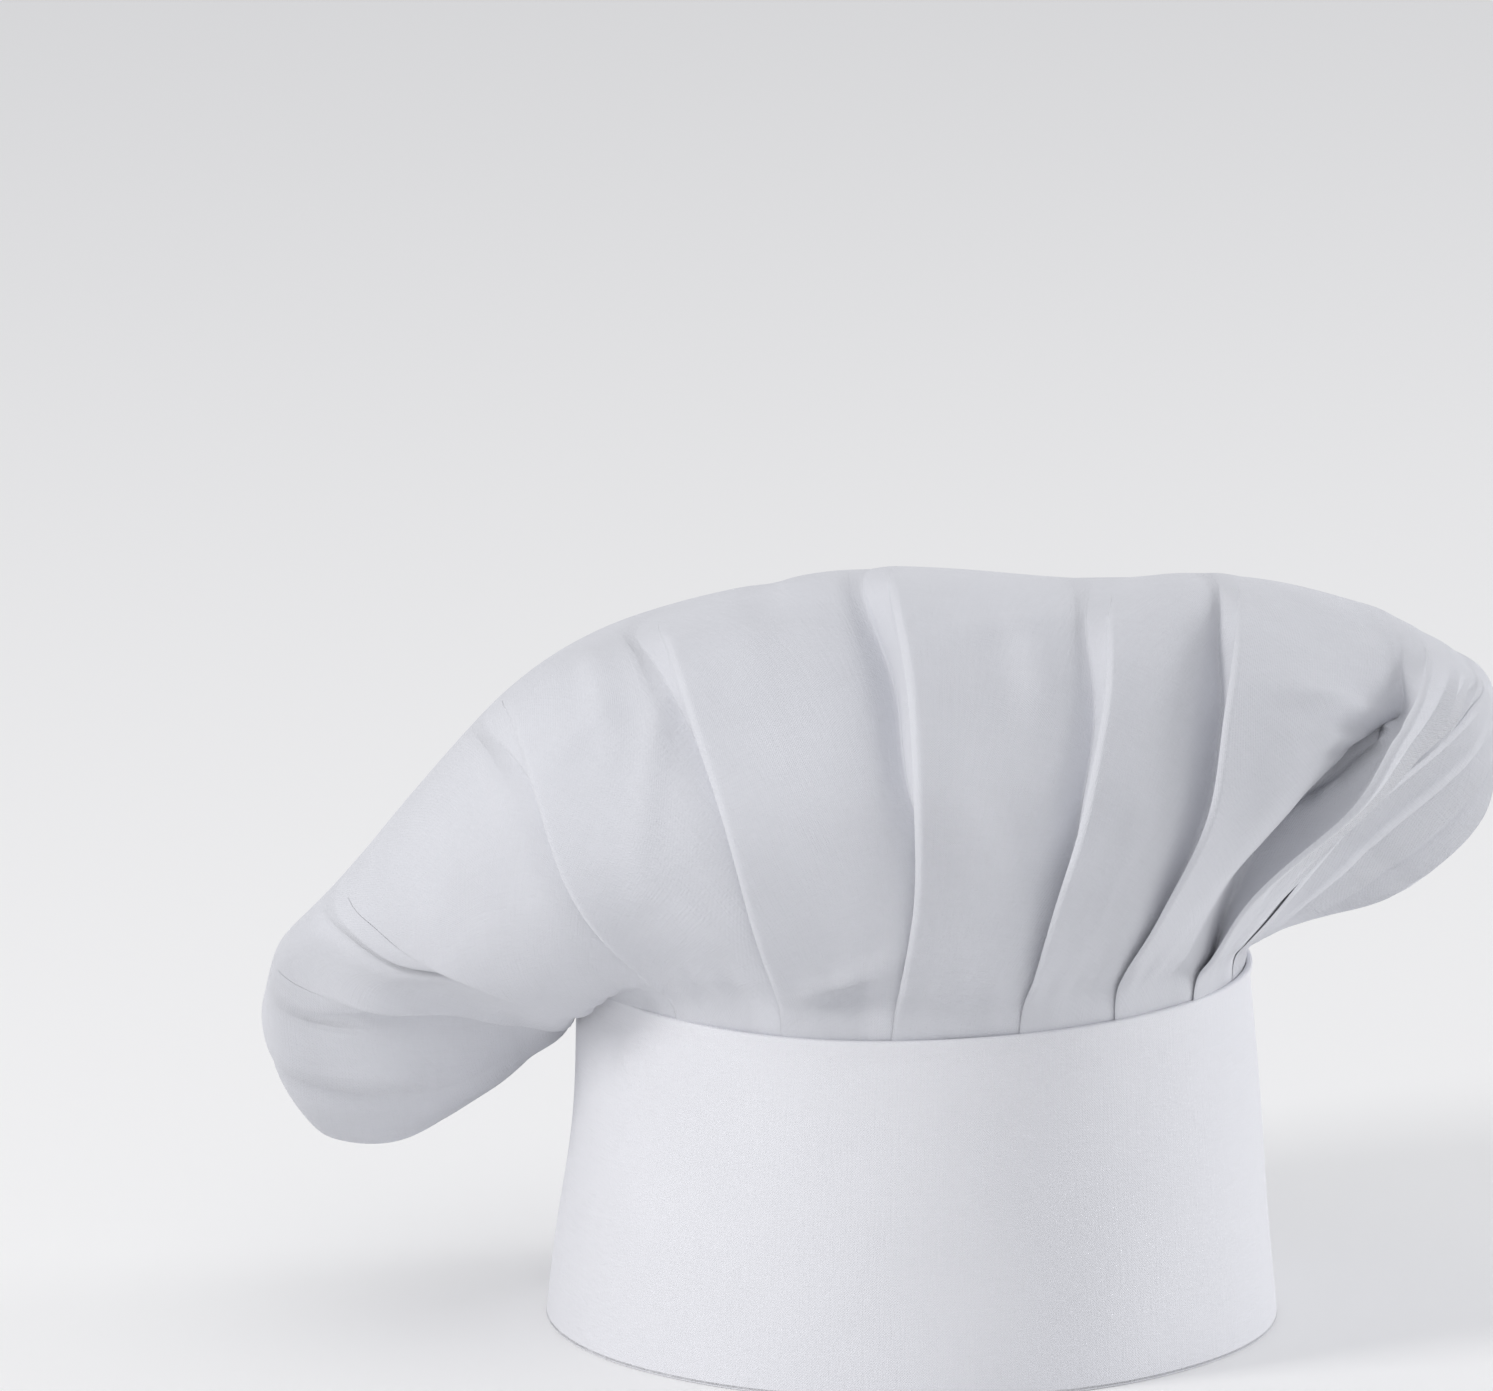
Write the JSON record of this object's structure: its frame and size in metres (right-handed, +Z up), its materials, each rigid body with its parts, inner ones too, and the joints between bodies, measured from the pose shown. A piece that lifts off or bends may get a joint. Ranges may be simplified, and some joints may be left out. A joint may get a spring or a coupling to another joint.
{
  "type": "chef toque",
  "caption": "Floppy white toque: a tall stiffened head band with a pleated crown that flops to one side, and a hook-and-loop closure at the back.",
  "frame": {"origin": "centre of the head opening, in the plane that the band's bottom edge stands on", "axes": "+Z up through the head, -Y out past the wearer's face, +Y out through the closure, -X to the wearer's right, where the crown flops"},
  "size_m": [0.3083, 0.2442, 0.1939],
  "materials": {
    "band_cloth": "matte",
    "crown_cloth": "matte",
    "interfacing": "matte",
    "lining_cloth": "matte",
    "binding_tape": "matte",
    "hook_tape": "matte",
    "loop_tape": "matte",
    "thread": "satin",
    "label_cloth": "satin"
  },
  "bodies": {
    "band": {"band_outer": "band_cloth", "band_interfacing": "interfacing", "band_lining": "lining_cloth", "crown": "crown_cloth", "seam_binding": "binding_tape", "crown_seam_thread": "thread", "loop_tape": "loop_tape", "loop_tape_thread": "thread", "label_hem": "label_cloth", "label_thread": "thread"},
    "tab": {"tab_outer": "band_cloth", "tab_interfacing": "interfacing", "tab_lining": "lining_cloth", "hook_tape": "hook_tape", "hook_tape_thread": "thread", "tab_edge_thread": "thread"},
    "label": {"size_label": "label_cloth"}
  },
  "joints": [
    {"name": "tab_peel", "type": "hinge", "parent": "band", "child": "tab", "pos_m": [-0.04197, 0.08899, 0], "axis": [0.0421, -0.0733, 0.9964], "range_deg": [0, 110]},
    {"name": "label_flap", "type": "hinge", "parent": "band", "child": "label", "pos_m": [-0.08006, 0, 0.0732], "axis": [0, -1, 0], "range_deg": [0, 120]}
  ]
}
